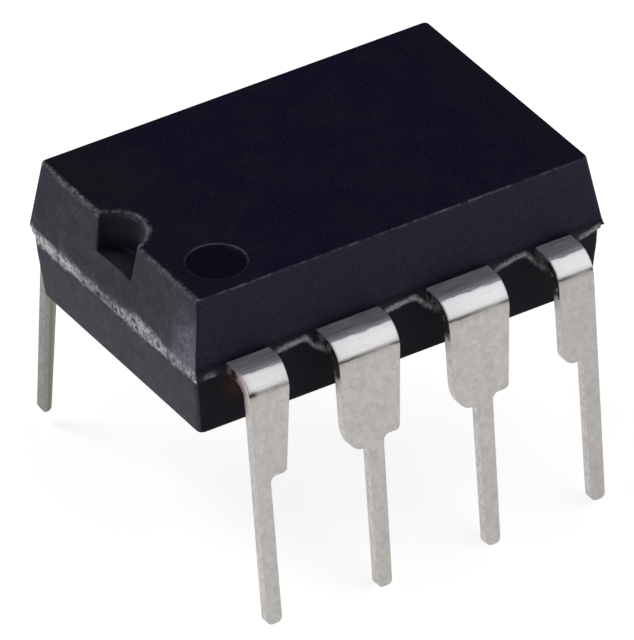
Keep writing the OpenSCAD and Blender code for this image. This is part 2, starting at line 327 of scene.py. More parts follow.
    # painted shade: the hollows in the end strip are painted near black
    base = k.mix(k.mul(pit_shade, 0.92), base, (0.0060, 0.0058, 0.0075))
    k.set(Base_Color=base, Metallic=0.0)
    rough = k.blend(k.step(fine, 0.3, 0.7), 0.50, 0.62)
    rough = k.blend(k.mul(band, profile), rough, 0.85)
    rough = k.blend(still_and_shade, rough, 0.42)
    k.set(Roughness=rough)
    k.bsdf.inputs["Specular IOR Level"].default_value = 0.10
    rest = k.sub(1.0, still_and_shade)
    height = k.add(k.mul(k.mul(fine, 1.0), rest), k.mul(k.mul(grain, 0.7), rest))
    height = k.add(height, k.mul(k.mul(mottle, 1.1), k.mul(band, profile)))
    k.relief(height, 0.007, 0.65)
    return k.mat


def tin_look(name, number):
    """Plated lead. The map "strip" holds mm across the lead and mm along it from the bend."""
    k = Look(name)
    uv, u, s = k.uv("strip")
    edge, side, depth, _ = k.attribute("marks")
    off = (number * 3.7, number * 1.9, 0)
    # rolling and forming streaks run across the lead on the flat and the bend
    across = k.noise(k.stretch(uv, 1.3, 30, 1, off), 1.0, 4, 0.62)
    hair = k.noise(k.stretch(uv, 1.5, 52, 1, off), 1.0, 4, 0.62, 0.25)
    # faint blotches and drawn streaks down the blade
    down = k.noise(k.stretch(uv, 20, 2.6, 1, off), 1.0, 4, 0.6)
    blotch = k.noise(k.stretch(uv, 3.8, 3.0, 1, off), 1.0, 4, 0.62, 0.6)
    smudge = k.noise(k.stretch(uv, 7.5, 8.5, 1, off), 1.0, 3, 0.6, 0.8)
    crumb = k.noise(k.p, 22, 3, 0.65)
    lumps = k.noise(k.p, 8, 3, 0.6)
    tint = k.noise(k.stretch(uv, 1.6, 0.8, 1, (number * 5.1, 3, 0)), 1.0, 2, 0.5)
    swing = k.add(s, k.mul(k.sub(k.noise(k.stretch(uv, 3.4, 7, 1, off), 1.0, 3), 0.5), 0.13))
    flat = k.step(swing, 0.19, 0.24, 1.0, 0.0)
    shine = k.mul(k.step(swing, 0.19, 0.24), k.step(s, 0.59, 0.64, 1.0, 0.0))
    blade = k.step(s, 0.62, 0.70)
    face = k.sub(1.0, side)

    grey = k.mix(k.step(blotch, 0.3, 0.7), (0.440, 0.421, 0.399), (0.560, 0.541, 0.519))
    grey = k.mix(k.mul(k.step(down, 0.45, 0.75), 0.25), grey, (0.390, 0.375, 0.357))
    grey = k.mix(k.mul(k.step(smudge, 0.50, 0.68), 0.32), grey, (0.345, 0.332, 0.318))
    grey = k.mix(k.mul(k.step(smudge, 0.44, 0.30), 0.35), grey, (0.640, 0.622, 0.600))
    grey = k.mix(k.mul(k.step(tint, 0.52, 0.72), 0.30), grey, (0.560, 0.470, 0.435))
    grey = k.mix(k.mul(k.step(tint, 0.46, 0.30), 0.12), grey, (0.500, 0.494, 0.420))
    grey = k.mix(k.mul(k.step(crumb, 0.62, 0.74), 0.45), grey, (0.230, 0.215, 0.200))
    # painted reflection: the flat shoulder is painted a darker grey for the dark body that it mirrors
    flat_reflection_tone = k.mix(k.step(across, 0.35, 0.68), (0.300, 0.292, 0.332), (0.490, 0.482, 0.528))
    flat_reflection_tone = k.mix(k.mul(k.step(hair, 0.50, 0.72), 0.50), flat_reflection_tone, (0.640, 0.634, 0.660))
    # painted highlight: the bend is painted near white where it catches the front softbox
    painted_highlight = k.mix(k.step(hair, 0.34, 0.62), (0.770, 0.758, 0.782), (0.856, 0.844, 0.864))
    painted_highlight = k.mix(k.mul(k.step(across, 0.54, 0.70), 0.45), painted_highlight, (0.540, 0.535, 0.562))
    base = k.mix(k.mul(flat, face), grey, flat_reflection_tone)
    base = k.mix(k.mul(shine, face), base, painted_highlight)
    if number == 1:
        base = k.mix(k.mul(shine, 0.10), base, (0.300, 0.296, 0.300))
    # thin dark line where the bend runs into the blade, strongest at its ends
    waver = k.add(s, k.mul(k.sub(k.noise(k.stretch(uv, 5, 5, 1, off), 1.0, 2), 0.5), 0.04))
    line = k.mul(k.hump(waver, 0.662, 0.045), k.step(k.add(edge, k.mul(blotch, 0.7)), 0.40, 1.15, 0.22, 1.0))
    if number == 1:
        line = k.mul(line, k.step(u, -3.55, -3.85, 0.35, 1.0))
    base = k.mix(k.mul(k.mul(line, face), 0.92), base, (0.090, 0.087, 0.078))
    if number == 1:
        # a dark blot at the outer end of that line, and a pinkish outer end of the bend
        blot = k.mul(k.hump(k.add(u, k.mul(lumps, 0.06)), -3.95, 0.19), k.hump(waver, 0.645, 0.095))
        blush = k.mul(k.hump(u, -4.07, 0.17), k.mul(k.step(s, 0.08, 0.20), k.step(s, 0.55, 0.66, 1.0, 0.0)))
        base = k.mix(k.mul(k.mul(blush, face), 0.6), base, (0.560, 0.450, 0.440))
        base = k.mix(k.mul(k.mul(blot, face), 0.95), base, (0.045, 0.048, 0.034))
    # cut sides: near black near the bend with a few light flecks, lighter further down
    walls = k.mix(k.step(lumps, 0.40, 0.62), (0.640, 0.606, 0.590), (0.510, 0.484, 0.468))
    if number == 1:
        walls = k.mix(0.14, walls, (0.300, 0.284, 0.268))
    if number == 4:
        base = k.mix(k.mul(blade, 0.08), base, (0.200, 0.190, 0.180))
    base = k.mix(k.mul(side, 0.92), base, walls)
    start, end = (0.02, 0.26) if number == 1 else (0.98, 1.12)
    dark_side_zone = k.mul(side, k.step(k.add(s, k.mul(k.sub(lumps, 0.5), 0.35)), start, end, 1.0, 0.0))
    cut = k.mix(k.step(crumb, 0.40, 0.72), (0.010, 0.006, 0.005), (0.070, 0.045, 0.040))
    fleck = k.step(k.noise(k.p, 7.5, 3, 0.6), 0.57, 0.65)
    cut = k.mix(k.mul(fleck, 0.85), cut, (0.420, 0.370, 0.355))
    # crumbs of flash cling to the cut side where it leaves the body
    cling = k.mul(k.step(k.noise(k.p, 5.5, 4, 0.66), 0.44, 0.58), k.step(s, 0.42, 0.18))
    cut = k.mix(k.mul(cling, 0.8), cut, (0.300, 0.285, 0.300))
    if number == 1:
        pink = k.mul(side, k.step(s, 0.95, 0.55))
        base = k.mix(k.mul(pink, 0.55), base, (0.520, 0.400, 0.385))
    base = k.mix(k.mul(dark_side_zone, 0.97), base, cut)
    # painted shade: the faces towards the body are painted darker
    back = k.step(depth, 0.90, 0.97)
    base = k.mix(k.mul(back, 0.36 if number == 8 else 0.42), base, (0.050, 0.048, 0.040))
    # painted shade: the far row is painted darker, its sides most
    if number > 4:
        base = k.mix(k.mul(side, 0.46), base, (0.050, 0.048, 0.040))
        base = k.mix(0.20, base, (0.050, 0.048, 0.040))
    if number == 8:
        # a yellowish line down the inner edge of this pin
        yellow = k.mul(k.mul(k.hump(u, 3.854, 0.075), k.step(s, 1.8, 2.4)), k.sub(1.0, side))
        base = k.mix(k.mul(yellow, 0.62), base, (0.150, 0.148, 0.075))
    metal = k.blend(flat, k.blend(shine, 0.93, 0.72), (0.42, 0.52, 0.46, 0.42)[(number - 1) % 4])
    k.set(Base_Color=base, Metallic=k.blend(dark_side_zone, metal, 1.0))
    rough = k.blend(flat, k.step(blotch, 0.3, 0.7, 0.40, 0.52), k.step(across, 0.3, 0.7, 0.34, 0.46))
    rough = k.blend(shine, rough, k.step(hair, 0.3, 0.7, 0.26, 0.38))
    rough = k.blend(dark_side_zone, rough, 0.55)
    k.set(Roughness=rough)
    height = k.mul(k.add(k.mul(hair, 0.8), k.mul(across, 1.4)), k.add(flat, k.mul(shine, 0.28)))
    height = k.add(height, k.mul(blade, k.add(k.mul(smudge, 1.0), k.mul(crumb, 0.7))))
    k.relief(height, 0.004, 0.5)
    return k.mat


def copper_look():
    k = Look("lead_frame_copper")
    roll = k.noise(k.stretch(k.p, 2.0, 40, 8), 1.0, 3, 0.6)
    spots = k.noise(k.p, 3.0, 3, 0.6)
    base = k.mix(k.step(roll, 0.35, 0.65), (0.520, 0.250, 0.150), (0.720, 0.400, 0.270))
    base = k.mix(k.mul(k.step(spots, 0.5, 0.75), 0.5), base, (0.330, 0.150, 0.090))
    # the sheared ends at the body's two end faces are dull and dusty
    end = k.step(k.m("ABSOLUTE", k.x), 4.70, 4.76)
    rag = k.step(k.noise(k.p, 9, 4, 0.6), 0.38, 0.62)
    base = k.mix(end, base, k.mix(rag, (0.060, 0.058, 0.062), (0.170, 0.166, 0.174)))
    k.set(Base_Color=base, Metallic=k.blend(end, 1.0, 0.0), Roughness=k.blend(end, k.step(roll, 0.3, 0.7, 0.28, 0.42), 0.7))
    k.relief(k.add(k.mul(roll, 0.6), k.mul(k.mul(rag, end), 2.0)), 0.004, 0.5)
    return k.mat


def attach_look():
    k = Look("die_attach_resin")
    flake = k.cells(k.p, 45)
    smear = k.noise(k.p, 5, 3, 0.6)
    base = k.mix(k.step(flake, 0.1, 0.6), (0.520, 0.520, 0.530), (0.300, 0.300, 0.310))
    base = k.mix(k.mul(k.step(smear, 0.5, 0.8), 0.4), base, (0.640, 0.630, 0.610))
    k.set(Base_Color=base, Metallic=0.4, Roughness=k.step(smear, 0.3, 0.7, 0.32, 0.5))
    k.relief(k.add(flake, smear), 0.003, 0.4)
    return k.mat


def silicon_look():
    k = Look("silicon")
    haze = k.noise(k.p, 2.5, 3, 0.55)
    film = k.noise(k.stretch(k.p, 1.2, 0.8, 1), 1.0, 2, 0.5)
    sawn = k.noise(k.stretch(k.p, 3, 3, 60), 1.0, 3, 0.6)
    base = k.mix(k.step(film, 0.35, 0.65), (0.095, 0.105, 0.155), (0.150, 0.140, 0.190))
    side = k.step(k.m("ABSOLUTE", k.nz), 0.5, 0.8, 1.0, 0.0)
    base = k.mix(side, base, k.mix(k.step(sawn, 0.35, 0.65), (0.120, 0.120, 0.125), (0.230, 0.230, 0.235)))
    k.set(Base_Color=base, Metallic=0.75, Roughness=k.blend(side, k.step(haze, 0.3, 0.7, 0.08, 0.16), 0.45))
    k.relief(k.mul(sawn, side), 0.003, 0.5)
    return k.mat


def gold_look():
    k = Look("bond_gold_wire")
    drawn = k.noise(k.p, 60, 3, 0.6)
    tone = k.noise(k.p, 6, 2, 0.5)
    base = k.mix(k.step(tone, 0.35, 0.65), (0.830, 0.560, 0.180), (0.930, 0.690, 0.300))
    k.set(Base_Color=base, Metallic=1.0, Roughness=k.step(drawn, 0.3, 0.7, 0.20, 0.32))
    k.relief(drawn, 0.001, 0.4)
    return k.mat


def floor_look():
    k = Look("pale_floor")
    tone = k.noise(k.p, 0.05, 2, 0.5)
    base = k.mix(tone, (0.39, 0.39, 0.392), (0.41, 0.41, 0.412))
    k.set(Base_Color=base, Roughness=0.9)
    k.bsdf.inputs["Specular IOR Level"].default_value = 0.1
    k.bsdf.inputs["Emission Color"].default_value = (1, 1, 1, 1)
    k.bsdf.inputs["Emission Strength"].default_value = 0.85
    return k.mat


# ------------------------------------------------------------- mesh helpers
def make(name, bm, mat):
    mesh = bpy.data.meshes.new(name)
    bm.to_mesh(mesh)
    bm.free()
    obj = bpy.data.objects.new(name, mesh)
    bpy.context.scene.collection.objects.link(obj)
    if mat:
        mesh.materials.append(mat)
    return obj


def rounded(obj, angle=40):
    mesh = obj.data
    mesh.polygons.foreach_set("use_smooth", [True] * len(mesh.polygons))
    mesh.set_sharp_from_angle(angle=math.radians(angle))
    m = obj.modifiers.new("weighted", "WEIGHTED_NORMAL")
    m.mode, m.weight, m.keep_sharp = "FACE_AREA", 50, True


def fillet(a, v, b, size, n):
    """Points of a small round at v between a and b. A point has any number of values."""
    def towards(p):
        d = math.sqrt(sum((p[i] - v[i]) ** 2 for i in range(3)))
        return [v[i] + (p[i] - v[i]) * min(0.5, size / d) for i in range(len(v))]

    p, q = towards(a), towards(b)
    return [
        [
            p[i] * (1 - t) ** 2 + 2 * v[i] * t * (1 - t) + q[i] * t * t
            for i in range(len(v))
        ]
        for t in [j / n for j in range(n + 1)]
    ]


def between(a, b, n):
    """n points strictly between a and b"""
    return [[a[i] + (b[i] - a[i]) * j / (n + 1) for i in range(len(a))] for j in range(1, n + 1)]


def stack(bm, rings):
    """Closed skin through rings of points"""
    rows = [[bm.verts.new(p) for p in r] for r in rings]
    n = len(rows[0])
    for lower, upper in zip(rows, rows[1:]):
        for i in range(n):
            bm.faces.new((lower[i], lower[(i + 1) % n], upper[(i + 1) % n], upper[i]))
    bm.faces.new(rows[0][::-1])
    bm.faces.new(rows[-1])


def scaled(bm):
    bmesh.ops.scale(bm, vec=(MM, MM, MM), verts=bm.verts)


# --------------------------------------------------------------------- body
# stretches of the long side at -Y that no lead hides, along X
GAPS = [(-4.79, -4.07), (-3.07, -1.985), (-0.515, 0.585), (2.055, 3.17), (4.01, 4.79)]


def flash_edge(x):
    """Height of the flash's lower edge over the middle of the lead frame, at -Y, and how worn it is"""
    for j, (a, b) in enumerate(GAPS):
        if a <= x <= b:
            t = (x - a) / (b - a)
            if j == 0:
                return -0.125 + 0.03 * bump(0.45, 0.3, t), 0.75 * bump(0.48, 0.26, t)
            if j == 4:
                return -0.11 + 0.12 * smooth(0.2, 1.0, t), 0.68 * smooth(0.15, 0.4, t) * (1 - 0.8 * smooth(0.85, 0.97, t))
            rise = (0.07, 0.07, 0.13)[j - 1]
            z = -0.13 + rise * smooth(0.0, 0.75, t) - 0.25 * smooth(0.74, 1.0, t) ** 1.6
            worn = smooth(0.10, 0.22, t) * (1.0, 1.0, 0.72)[j - 1] * (0.75 + 0.25 * bump(0.5, 0.45, t)) * (1 - 0.35 * smooth(0.88, 1.0, t))
            return z, worn
    return -0.128, 0.0


def shape_row(points, z):
    """Moves the points of one ring: a wandering flash edge on the long sides, a ragged strip on the ends"""
    done = []
    for x, y in points:
        dx = dy = dz = 0.0
        sx = x if y < 0 else -x
        if abs(y) > 3.08:
            low, worn = flash_edge(sx)
            # the strip's lower edge runs level into one corner and climbs into the other
            keep = smooth(-4.79, -4.60, sx)
            dz = (low + 0.128) * smooth(1.85, 2.19, z) * smooth(2.50, 2.26, z) * keep
            dy = -math.copysign(0.006, y) * (0.5 + fbm(x * 3, z * 6, y, 2)) * bump(2.30, 0.25, z)
        if abs(x) > 4.70:
            wide = 1.0 if x < 0 else 0.8
            rag = 0.5 + 0.8 * fbm(y * 3.2 + (9 if x > 0 else 0), z * 4.0, x, 2)
            rag = max(0.0, min(1.0, rag))
            strip = smooth(2.06, 2.16, z) * smooth(2.52, 2.46, z)
            deep = 0.016 * rag * wide
            # hollows on both sides of the tie bar, and a few smaller ones
            for py, pz, r, d in PITS:
                q = math.hypot((y - py) / r, (z - pz) / (r * 1.25))
                deep += d * (1 - smooth(0.35, 1.0, q)) * (1 if x < 0 else 0.6)
            off = abs(y + math.copysign(TIE_Y, x))
            bar = bump(0, 0.30, off) ** 0.5 if off < 0.30 else 0.0
            deep = max(deep, 0.012 * bar)
            dx = -math.copysign(deep * strip, x)
            dz += 0.012 * fbm(y * 3.0, 3.1, x, 2) * bump(2.22, 0.14, z)
            dz += 0.010 * fbm(y * 3.2, 8.3, x, 2) * bump(2.49, 0.10, z)
            climb = smooth(2.6, 3.18, -math.copysign(1, x) * y)
            # a small pointed flake of flash on the corner beside lead 4
            flake = bump(2.42, 0.12, z) * bump(0, 0.14, math.hypot(x - 4.79, y + 3.18))
            if x > 0 and flake > 0:
                flake = flake ** 0.6
                dx, dy = (4.789 - x) * flake, (-3.235 - y) * flake
            if abs(y) <= 3.08:
                dz += 0.138 * climb * smooth(1.85, 2.19, z) * smooth(2.50, 2.26, z)
        done.append((x + dx, y + dy, z + dz))
    return done


PITS = [
    (0.56, 2.27, 0.075, 0.055), (-0.13, 2.25, 0.085, 0.060), (-0.83, 2.42, 0.055, 0.035),
    (-0.93, 2.27, 0.075, 0.045), (-1.74, 2.36, 0.06, 0.035), (-2.30, 2.32, 0.07, 0.040),
    (0.26, 2.31, 0.045, 0.025), (1.35, 2.33, 0.06, 0.030), (-2.95, 2.28, 0.06, 0.035),
    (2.2, 2.30, 0.08, 0.025),
]


def ring_points(hx, hy, r, nx=150, ny=120, nc=6):
    points = []
    for k, (sx, sy) in enumerate(((1, 1), (-1, 1), (-1, -1), (1, -1))):
        for i in range(nc + 1):
            a = math.radians(90 * k + 90 * i / nc)
            points.append((sx * (hx - r) + r * math.cos(a), sy * (hy - r) + r * math.sin(a)))
        tx, ty = ((-1, 1), (-1, -1), (1, -1), (1, 1))[k]
        a, b = points[-1], ((hx - r) * tx if k % 2 == 0 else points[-1][0], (hy - r) * ty if k % 2 else points[-1][1])
        n = nx if k % 2 == 0 else ny
        points += [(a[0] + (b[0] - a[0]) * i / n, a[1] + (b[1] - a[1]) * i / n) for i in range(1, n)]
    return points


def body_rows():
    """(half length, half width, height, corner radius) from the underside up"""
    c0 = [4.476, 2.856, UNDER_Z, 0.12]
    v1 = [4.626, 3.006, UNDER_Z, 0.13]
    v2 = [4.735, 3.125, 2.205, 0.09]
    v3 = [4.776, 3.166, 2.224, 0.07]
    v4 = [4.789, 3.179, 2.497, 0.035]
    v5 = [4.5626, 3.0043, TOP_Z, 0.10]
    c1 = [4.40, 2.84, TOP_Z, 0.06]
    low = fillet(c0, v1, v2, 0.045, 4)
    mid = fillet(v2, v3, v4, 0.016, 2)
    shoulder = fillet(v3, v4, v5, 0.02, 2)
    top = fillet(v4, v5, c1, 0.042, 5)
    split = [v1[i] + (v2[i] - v1[i]) * 0.72 for i in range(4)]
    rows = [c0] + low + between(low[-1], split, 7) + [split] + between(split, v2, 9) + [v2]
    rows += mid + between(mid[-1], shoulder[0], 9) + shoulder
    rows += between(shoulder[-1], top[0], 16) + top + [[4.47, 2.91, TOP_Z, 0.06], c1]
    return rows


def notch_cutter():
    """Half-round notch with a slightly flared rim"""
    bm = bmesh.new()
    rings = []
    floor = TOP_Z - NOTCH_DEPTH
    flare = 0.035
    heights = [floor, floor + 0.015, floor + 0.04]
    heights += [floor + 0.04 + (NOTCH_DEPTH - 0.04 - flare) * i / 8 for i in range(1, 9)]
    heights += [TOP_Z - flare + flare * math.sin(math.radians(90 * i / 5)) for i in range(1, 5)] + [TOP_Z, TOP_Z + 0.3]
    for z in heights:
        zz = min(z, TOP_Z)
        r = NOTCH_FLOOR_R + (NOTCH_R - NOTCH_FLOOR_R) * (zz - floor) / NOTCH_DEPTH
        if z < floor + 0.04:
            r -= 0.03 * (1 - math.sqrt(max(0.0, 1 - (1 - (z - floor) / 0.04) ** 2)))
        if zz > TOP_Z - flare:
            q = (zz - TOP_Z + flare) / flare
            r += flare * (1 - math.sqrt(max(0.0, 1 - q * q)))
        end = 4.789 - 0.1472 * (zz - 2.497)
        if zz > TOP_Z - 0.042:
            q = (zz - TOP_Z + 0.042) / 0.042
            end -= 0.042 * (1 - math.sqrt(max(0.0, 1 - q * q)))
        xe = -end
        # the mouth is rounded, most of all on the side of lead 1
        up = (zz - floor) / NOTCH_DEPTH
        parts = []
        for side, rho in ((1, 0.05), (-1, 0.05 + 0.09 * up * up)):
            h = math.sqrt((r + rho) ** 2 - (xe + rho - NOTCH_X) ** 2)
            beta = math.atan2(h, xe + rho - NOTCH_X)
            parts.append((side, rho, h, beta))
        _, rho, h, beta = parts[0]
        ring = [(-5.4, NOTCH_Y + h, z)]
        for i in range(6):
            a = math.pi + beta * i / 5
            ring.append((xe + rho + rho * math.cos(a), NOTCH_Y + h + rho * math.sin(a), z))
        n = 40
        last = parts[1][3]
        for i in range(1, n):
            a = beta - (beta + last) * i / n
            ring.append((NOTCH_X + r * math.cos(a), NOTCH_Y + r * math.sin(a), z))
        _, rho, h, beta = parts[1]
        for i in range(5, -1, -1):
            a = math.pi - beta * i / 5
            ring.append((xe + rho + rho * math.cos(a), NOTCH_Y - h + rho * math.sin(a), z))
        ring.append((-5.4, NOTCH_Y - h, z))
        rings.append(ring[::-1])
    stack(bm, rings)
    bmesh.ops.recalc_face_normals(bm, faces=bm.faces)
    scaled(bm)
    return make("cut_notch", bm, None)


def dot_cutter():
    bm = bmesh.new()
    floor = TOP_Z - DOT_DEPTH
    profile = [(DOT_R - 0.07, floor), (DOT_R - 0.035, floor + 0.003), (DOT_R - 0.012, floor + 0.012)]
    profile += [(DOT_R - 0.004, floor + 0.03), (DOT_R, TOP_Z - 0.022)]
    profile += [(DOT_R + 0.004, TOP_Z - 0.011), (DOT_R + 0.012, TOP_Z - 0.004), (DOT_R + 0.026, TOP_Z)]
    profile += [(DOT_R + 0.026, TOP_Z + 0.3)]
    n = 72
    stack(bm, [
        [(DOT_X + r * math.cos(2 * math.pi * i / n), DOT_Y + r * math.sin(2 * math.pi * i / n), z) for i in range(n)]
        for r, z in profile
    ])
    bmesh.ops.recalc_face_normals(bm, faces=bm.faces)
    scaled(bm)
    return make("cut_dot", bm, None)


def body_marks(x, y, z):
    """(worn edge, parting strip, painted light on the ends and the notch wall, smooth finish with painted shade in the
    notch) at a point of the body's skin, in mm
    """
    wear = band = haze = still_and_shade = 0.0
    if z > TOP_Z - 1e-4 or z < UNDER_Z + 1e-4:
        return wear, band, haze, still_and_shade
    rim = math.hypot(x - NOTCH_X, y - NOTCH_Y)
    dot = math.hypot(x - DOT_X, y - DOT_Y)
    in_dot = dot < DOT_R + 0.03 and z > TOP_Z - DOT_DEPTH - 0.01
    in_notch = rim < NOTCH_R + 0.04 and z > TOP_Z - NOTCH_DEPTH - 0.01 and abs(y - NOTCH_Y) < NOTCH_R + 0.10 and x > -4.80
    skin = 4.789 - 0.1472 * (z - 2.497)
    on_end = abs(x) > skin - 0.012 if z > 2.5 else abs(x) - abs(y) > 1.602
    if in_dot:
        if z < TOP_Z - 0.05:
            still_and_shade = 1.0
        # painted highlight: the rim is brightest on its far side
        facing = 0.25 + 0.75 * smooth(-0.3, 0.9, ((x - DOT_X) * 0.75 + (y - DOT_Y) * 0.66) / DOT_R)
        wear = 0.55 * bump(TOP_Z - 0.008, 0.02, z) * facing
        return wear, band, haze, still_and_shade
    if z > TOP_Z - 0.05:
        along = 0.9 if abs(x) < skin - 0.02 else 0.62
        wear = max(wear, along * bump(TOP_Z - 0.016, 0.03, z))
    if in_notch and not on_end:
        # painted light: only the wall on the side of lead 1 is painted lighter, and its rim brighter, as lit
        lit = smooth(0.22, -0.34, y - NOTCH_Y)
        wear = max(wear, (0.35 + 0.6 * lit) * bump(TOP_Z - 0.014, 0.03, z))
        haze = 1.0 * lit * smooth(3.24, 3.66, z)
        # painted shade: the notch is painted darker, most on the wall away from lead 1
        still_and_shade = 0.75 + 0.25 * smooth(-0.1, 0.3, y - NOTCH_Y)
    if on_end:
        # painted light: the end faces are painted lighter, most on the -X end towards the near upright edge
        haze = 0.41 + 0.02 * smooth(2.3, 1.8, z)
        if x < 0:
            haze += 0.66 * smooth(-1.7, -3.05, y) * smooth(4.05, 2.8, z) * smooth(2.2, 2.5, z)
            haze += 0.14 * smooth(2.80, 2.50, z) * smooth(2.2, 2.4, z)
            near = math.hypot((y - NOTCH_Y), max(0.0, 3.2 - z) * 1.0)
            haze -= 0.05 * smooth(1.3, 0.6, near)
            haze -= 0.06 * smooth(1.6, 3.0, y) * smooth(2.6, 3.0, z)
        band = smooth(2.95, 2.85, z) * smooth(1.86, 1.94, z)
        if x < 0:
            band *= 0.70 + 0.14 * bump(-1.2, 1.1, y) + 0.22 * smooth(-2.7, -3.05, y) - 0.10 * bump(0.2, 0.5, y) + 0.42 * smooth(0.9, 2.2, y)
        else:
            band *= 0.55
        for py, pz, r, d in PITS:
            q = math.hypot((y - py) / r, (z - pz) / (r * 1.25))
            band *= 1 - min(1.0, 1.25 * d / 0.06) * (1 - smooth(0.35, 1.1, q))
        # the strip's light skin ends at the upright edges
        band *= smooth(3.178, 3.150, abs(y))
    return wear, band, haze, still_and_shade


def flash_marks(x, y, z):
    """(height of the flash's edge over the lead frame, how light it is there) on the long sides, painted shade in the
    pits on the ends
    """
    sx = x if y < 0 else -x
    low, worn = flash_edge(sx)
    for left in (-1.985, 0.585, 3.17):
        # flakes run on down the side, under the shoulder of the lead
        if left < sx < left + 0.5:
            low, worn = -0.31 - 0.9 * (sx - left), (0.60 if left < 3 else 0.38) * smooth(0.42, 0.15, sx - left)
    if abs(y) < 3.0 or z > 2.6 or z < 1.7:
        worn = 0.0
    pit_shade = 0.0
    if abs(x) > 4.70 and 2.0 < z < 2.6:
        for py, pz, r, d in PITS[:5]:
            q = math.hypot((y - py) / (r * 1.1), (z - pz) / (r * 1.1))
            pit_shade = max(pit_shade, min(1.0, d / 0.05) * (1 - smooth(0.35, 1.1, q)))
    return low, worn, pit_shade


def build_body():
    bm = bmesh.new()
    rows = body_rows()
    stack(bm, [shape_row(ring_points(hx, hy, r), z) for hx, hy, z, r in rows])
    scaled(bm)
    body = make("moulded_body", bm, None)
    for cutter in (notch_cutter(), dot_cutter()):
        m = body.modifiers.new("cut", "BOOLEAN")
        m.operation, m.solver, m.object = "DIFFERENCE", "EXACT", cutter
    bpy.context.view_layer.update()
    dg = bpy.context.evaluated_depsgraph_get()
    mesh = bpy.data.meshes.new_from_object(body.evaluated_get(dg))
    body.modifiers.clear()
    old = body.data
    body.data = mesh
    bpy.data.meshes.remove(old)
    for o in [o for o in bpy.context.scene.objects if o.name.startswith("cut_")]:
        bpy.data.objects.remove(o)
    mesh.name = "moulded_body"
    bm = bmesh.new()
    bm.from_mesh(mesh)
    bmesh.ops.remove_doubles(bm, verts=bm.verts, dist=2e-7)
    bmesh.ops.triangulate(bm, faces=[f for f in bm.faces if len(f.verts) > 4], ngon_method="BEAUTY")
    bm.to_mesh(mesh)
    bm.free()
    marks = mesh.color_attributes.new("marks", "FLOAT_COLOR", "POINT")
    values = []
    for v in mesh.vertices:
        values += body_marks(*(c / MM for c in v.co))
    marks.data.foreach_set("color", values)
    flash = mesh.color_attributes.new("flash", "FLOAT_COLOR", "POINT")
    values = []
    for v in mesh.vertices:
        values += [*flash_marks(*(c / MM for c in v.co)), 1.0]
    flash.data.foreach_set("color", values)
    mesh.materials.clear()
    mesh.materials.append(epoxy_look())
    rounded(body, 42)
    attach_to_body(body, "root")
    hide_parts("epoxy_body")
    return body


# -------------------------------------------------------------------- leads
def arc(cx, cy, r, start, sweep, n=7):
    return [
        (cx + r * math.cos(math.radians(start + sweep * i / n)), cy + r * math.sin(math.radians(start + sweep * i / n)))
        for i in range(n + 1)
    ]


def lead_outline(i):
    """Outline in mm across and mm along the strip from the start of the bend, its hole, and the lean"""
    k = (i - 1) % 4 + 1
    lean = LEAN["far" if i > 4 else "near"]
    a = math.radians(lean)
    turn = BEND_R * math.radians(90 - lean)
    start_z = FRAME_Z + SHEET / 2 - BEND_R + BEND_R * math.sin(a)
    down = turn + (start_z - RISE[k - 1]) / math.cos(a)
    short = turn + (start_z - SHORT_SHOULDER) / math.cos(a)
    reach = REACH if k in (2, 3) else FAR_END_REACH if i > 4 else END_REACH
    tip = turn + (start_z + reach) / math.cos(a)
    x = (k - 2.5) * PITCH
    p = x + SHIFT[k - 1]
    pin_l, pin_r = p - PIN_W / 2, p + PIN_W / 2
    width = (END_WIDE_W if k in (1, 4) else WIDE_W) + WIDER[k - 1]
    left_x = pin_l if k == 1 else pin_r - width if k == 4 else p - width / 2
    right_x = left_x + width
    if i == 8:
        # this pin shows a little narrower than the others
        pin_l += 0.08
        pin_r += 0.02
    tip_l, tip_r = pin_l + (PIN_W - TIP_W) / 2, pin_r - (PIN_W - TIP_W) / 2
    if i == 8:
        tip_l += 0.04
        tip_r -= 0.01
    if i == 1:
        # this pin is bent a little towards lead 2
        tip_l += 0.045
        tip_r += 0.060
    end_r = min(TIP_R, (tip_r - tip_l) / 2 - 0.002)
    big, tall, small = ROUND_BIG[k - 1], ROUND_TALL[k - 1], TAPER_SMALL[k - 1]
    if k == 1:
        left = [(left_x, 0)]
    else:
        left = [(left_x, 0)]
        left += [(left_x + TAPER_BIG + big * (1 + cx), down - tall * (1 - cy)) for cx, cy in arc(0, 0, 1, 180, -90, 10)]
        left += arc(pin_l - FILLET, down + FILLET, FILLET, -90, 90, 5)
    if k == 4:
        right = [(right_x, 0)]
    else:
        right = arc(pin_r + FILLET, short + FILLET, FILLET, 180, 90, 5)
        right += arc(right_x - small - ROUND_SMALL, short - ROUND_SMALL, ROUND_SMALL, 90, -90, 5)
        right += [(right_x, 0)]
    tip_part = arc(tip_l + end_r, tip - end_r, end_r, 180, -90, 6)
    tip_part += arc(tip_r - end_r, tip - end_r, end_r, 90, -90, 6)

    def s(y):
        return -(BEND_Y + y)

    hole = None
    if k in (2, 3):
        inner = [(right_x, s(-2.75)), (x + 0.4, s(-2.35)), (x + 0.4, s(-1.5)),
                 (x - 0.4, s(-1.5)), (x - 0.4, s(-2.35)), (left_x, s(-2.75))]
        hole = arc(x, s(-2.6), 0.2, 0, -345, 23)
    elif k == 1:
        inner = [(right_x, s(-2.0)), (-2.2, s(-1.15)), (-2.2, s(-0.6)), (-2.8, s(-0.6)), (left_x, s(-1.6))]
    else:
        inner = [(right_x, s(-1.6)), (2.8, s(-0.6)), (2.2, s(-0.6)), (2.2, s(-1.15)), (left_x, s(-2.0))]
    return left + tip_part + right + inner, hole, lean, turn, (left_x, right_x)


